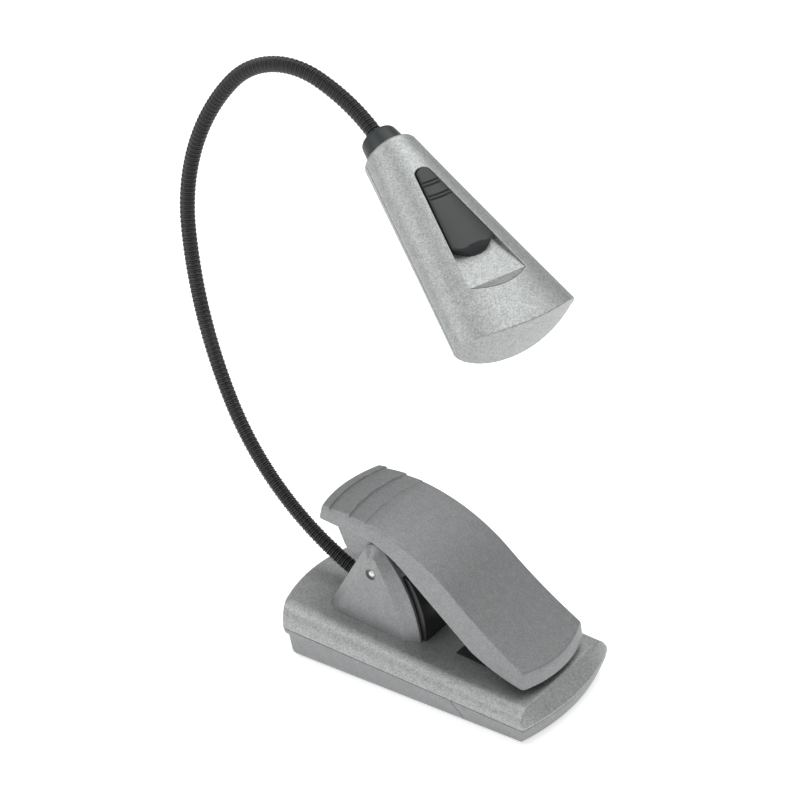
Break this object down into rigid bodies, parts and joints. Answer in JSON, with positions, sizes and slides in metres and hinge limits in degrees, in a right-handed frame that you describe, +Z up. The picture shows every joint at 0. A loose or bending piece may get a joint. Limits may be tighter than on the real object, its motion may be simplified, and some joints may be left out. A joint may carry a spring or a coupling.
{
  "type": "clip-on reading lamp",
  "caption": "Clip-on reading lamp: battery base with a sprung lever clip, a thin gooseneck and a flattened cone head with a sliding switch.",
  "frame": {"origin": "centre of the flat underside of the base, which stands on a table", "axes": "+Z up; +X along the base from the neck root to the jaw tip; +Y across the base, with the lamp head turned towards -Y"},
  "size_m": [0.1518, 0.07, 0.1949],
  "materials": {
    "silver_paint": "satin metallic silver paint on moulded plastic",
    "grey_paint": "satin metallic mid-grey paint on moulded plastic",
    "dark_plastic": "satin dark grey-green plastic",
    "black_plastic": "satin black plastic",
    "black_sleeve": "fine ribbed black flexible sleeve",
    "steel": "bright steel",
    "rubber_pad": "matte black rubber",
    "cell_wrap": "glossy printed-free wrap on a steel can",
    "clear_window": "clear moulded plastic window",
    "mirror_cup": "bright metallised cup",
    "led_resin": "clear resin dome over a yellow phosphor",
    "circuit_board": "green solder mask",
    "resistor_body": "tan ceramic body",
    "wire_sleeve": "coloured wire sleeve"
  },
  "bodies": {
    "base": {"base_front_shell": "grey_paint", "base_jaw_pad": "rubber_pad", "base_screw_1": "steel", "base_screw_2": "steel", "base_top_shell": "silver_paint", "base_wires": "wire_sleeve", "battery_1": "cell_wrap", "battery_2": "cell_wrap", "battery_3": "cell_wrap", "battery_tray": "black_plastic", "bracket_screws": "steel", "contact_plates": "steel", "contact_springs": "steel", "hinge_bracket": "grey_paint", "hinge_pin": "steel", "neck_root": "black_sleeve", "neck_socket": "dark_plastic", "spring_cover": "black_plastic", "torsion_spring": "steel"},
    "door": {"battery_door": "grey_paint"},
    "lever": {"clip_lever": "grey_paint", "lever_jaw_pad": "rubber_pad"},
    "neck_01": {"neck_link_01": "black_sleeve"},
    "neck_02": {"neck_link_02": "black_sleeve"},
    "neck_03": {"neck_link_03": "black_sleeve"},
    "neck_04": {"neck_link_04": "black_sleeve"},
    "neck_05": {"neck_link_05": "black_sleeve"},
    "neck_06": {"neck_link_06": "black_sleeve"},
    "neck_07": {"neck_link_07": "black_sleeve"},
    "neck_08": {"neck_link_08": "black_sleeve"},
    "neck_09": {"neck_link_09": "black_sleeve"},
    "neck_10": {"neck_link_10": "black_sleeve"},
    "neck_11": {"neck_link_11": "black_sleeve"},
    "head": {"neck_tip": "black_sleeve", "head_collar": "dark_plastic", "head_top_shell": "silver_paint", "head_bottom_shell": "silver_paint", "light_window": "clear_window", "reflector": "mirror_cup", "led_board": "circuit_board", "led_1": "led_resin", "led_2": "led_resin", "switch_body": "black_plastic", "switch_board": "circuit_board", "resistor": "resistor_body", "head_wires": "wire_sleeve", "head_screw_1": "steel", "head_screw_2": "steel", "head_screw_3": "steel"},
    "knob": {"switch_knob": "dark_plastic", "switch_slider": "black_plastic"}
  },
  "joints": [
    {"name": "battery_door_slide", "type": "slide", "parent": "base", "child": "door", "axis": [-1, 0, 0], "range_m": [0, 0.06]},
    {"name": "lever_hinge", "type": "hinge", "parent": "base", "child": "lever", "pos_m": [-0.0169, 0, 0.0364], "axis": [0, -1, 0], "range_deg": [0, 28], "stiffness_Nm_per_rad": 0.6, "springref_deg": -45.84},
    {"name": "neck_lower_bend", "type": "hinge", "parent": "base", "child": "neck_01", "pos_m": [-0.04129, 0, 0.02583], "axis": [0, 1, 0], "range_deg": [-10, 5]},
    {"name": "neck_lower_side", "type": "hinge", "parent": "neck_01", "child": "neck_02", "pos_m": [-0.05919, 0, 0.03774], "axis": [0.6427, 0, 0.7661], "range_deg": [-6, 6]},
    {"name": "neck_lower_bend_3", "type": "hinge", "parent": "neck_02", "child": "neck_03", "pos_m": [-0.07402, 0, 0.0533], "axis": [0, 1, 0], "range_deg": [-10, 5]},
    {"name": "neck_lower_side_4", "type": "hinge", "parent": "neck_03", "child": "neck_04", "pos_m": [-0.08507, 0, 0.07174], "axis": [0.9088, 0, 0.4172], "range_deg": [-6, 6]},
    {"name": "neck_lower_bend_5", "type": "hinge", "parent": "neck_04", "child": "neck_05", "pos_m": [-0.09273, 0, 0.09185], "axis": [0, 1, 0], "range_deg": [-10, 5]},
    {"name": "neck_lower_side_6", "type": "hinge", "parent": "neck_05", "child": "neck_06", "pos_m": [-0.09767, 0, 0.1128], "axis": [0.9864, 0, 0.1644], "range_deg": [-6, 6]},
    {"name": "neck_upper_bend", "type": "hinge", "parent": "neck_06", "child": "neck_07", "pos_m": [-0.0997, 0, 0.13422], "axis": [0, 1, 0], "range_deg": [-12, 6]},
    {"name": "neck_upper_side", "type": "hinge", "parent": "neck_07", "child": "neck_08", "pos_m": [-0.0963, 0, 0.15541], "axis": [0.9518, 0, -0.3067], "range_deg": [-6, 6]},
    {"name": "neck_upper_bend_9", "type": "hinge", "parent": "neck_08", "child": "neck_09", "pos_m": [-0.08669, 0, 0.1746], "axis": [0, 1, 0], "range_deg": [-12, 6]},
    {"name": "neck_upper_side_10", "type": "hinge", "parent": "neck_09", "child": "neck_10", "pos_m": [-0.07119, 0, 0.18924], "axis": [0.444, 0, -0.896], "range_deg": [-6, 6]},
    {"name": "neck_upper_bend_11", "type": "hinge", "parent": "neck_10", "child": "neck_11", "pos_m": [-0.05022, 0, 0.19149], "axis": [0, 1, 0], "range_deg": [-12, 6]},
    {"name": "neck_upper_side_12", "type": "hinge", "parent": "neck_11", "child": "head", "pos_m": [-0.03061, -0.00166, 0.18292], "axis": [-0.3918, -0.8335, -0.3895], "range_deg": [-6, 6]},
    {"name": "switch_slide", "type": "slide", "parent": "head", "child": "knob", "axis": [0.8204, -0.2723, -0.5028], "range_m": [0, 0.004]}
  ],
  "couplings": [
    {"joint": "neck_lower_bend_3", "follows": "neck_lower_bend", "ratio": 1},
    {"joint": "neck_lower_side_4", "follows": "neck_lower_side", "ratio": 1},
    {"joint": "neck_lower_bend_5", "follows": "neck_lower_bend", "ratio": 1},
    {"joint": "neck_lower_side_6", "follows": "neck_lower_side", "ratio": 1},
    {"joint": "neck_upper_bend_9", "follows": "neck_upper_bend", "ratio": 1},
    {"joint": "neck_upper_side_10", "follows": "neck_upper_side", "ratio": 1},
    {"joint": "neck_upper_bend_11", "follows": "neck_upper_bend", "ratio": 1},
    {"joint": "neck_upper_side_12", "follows": "neck_upper_side", "ratio": 1}
  ]
}
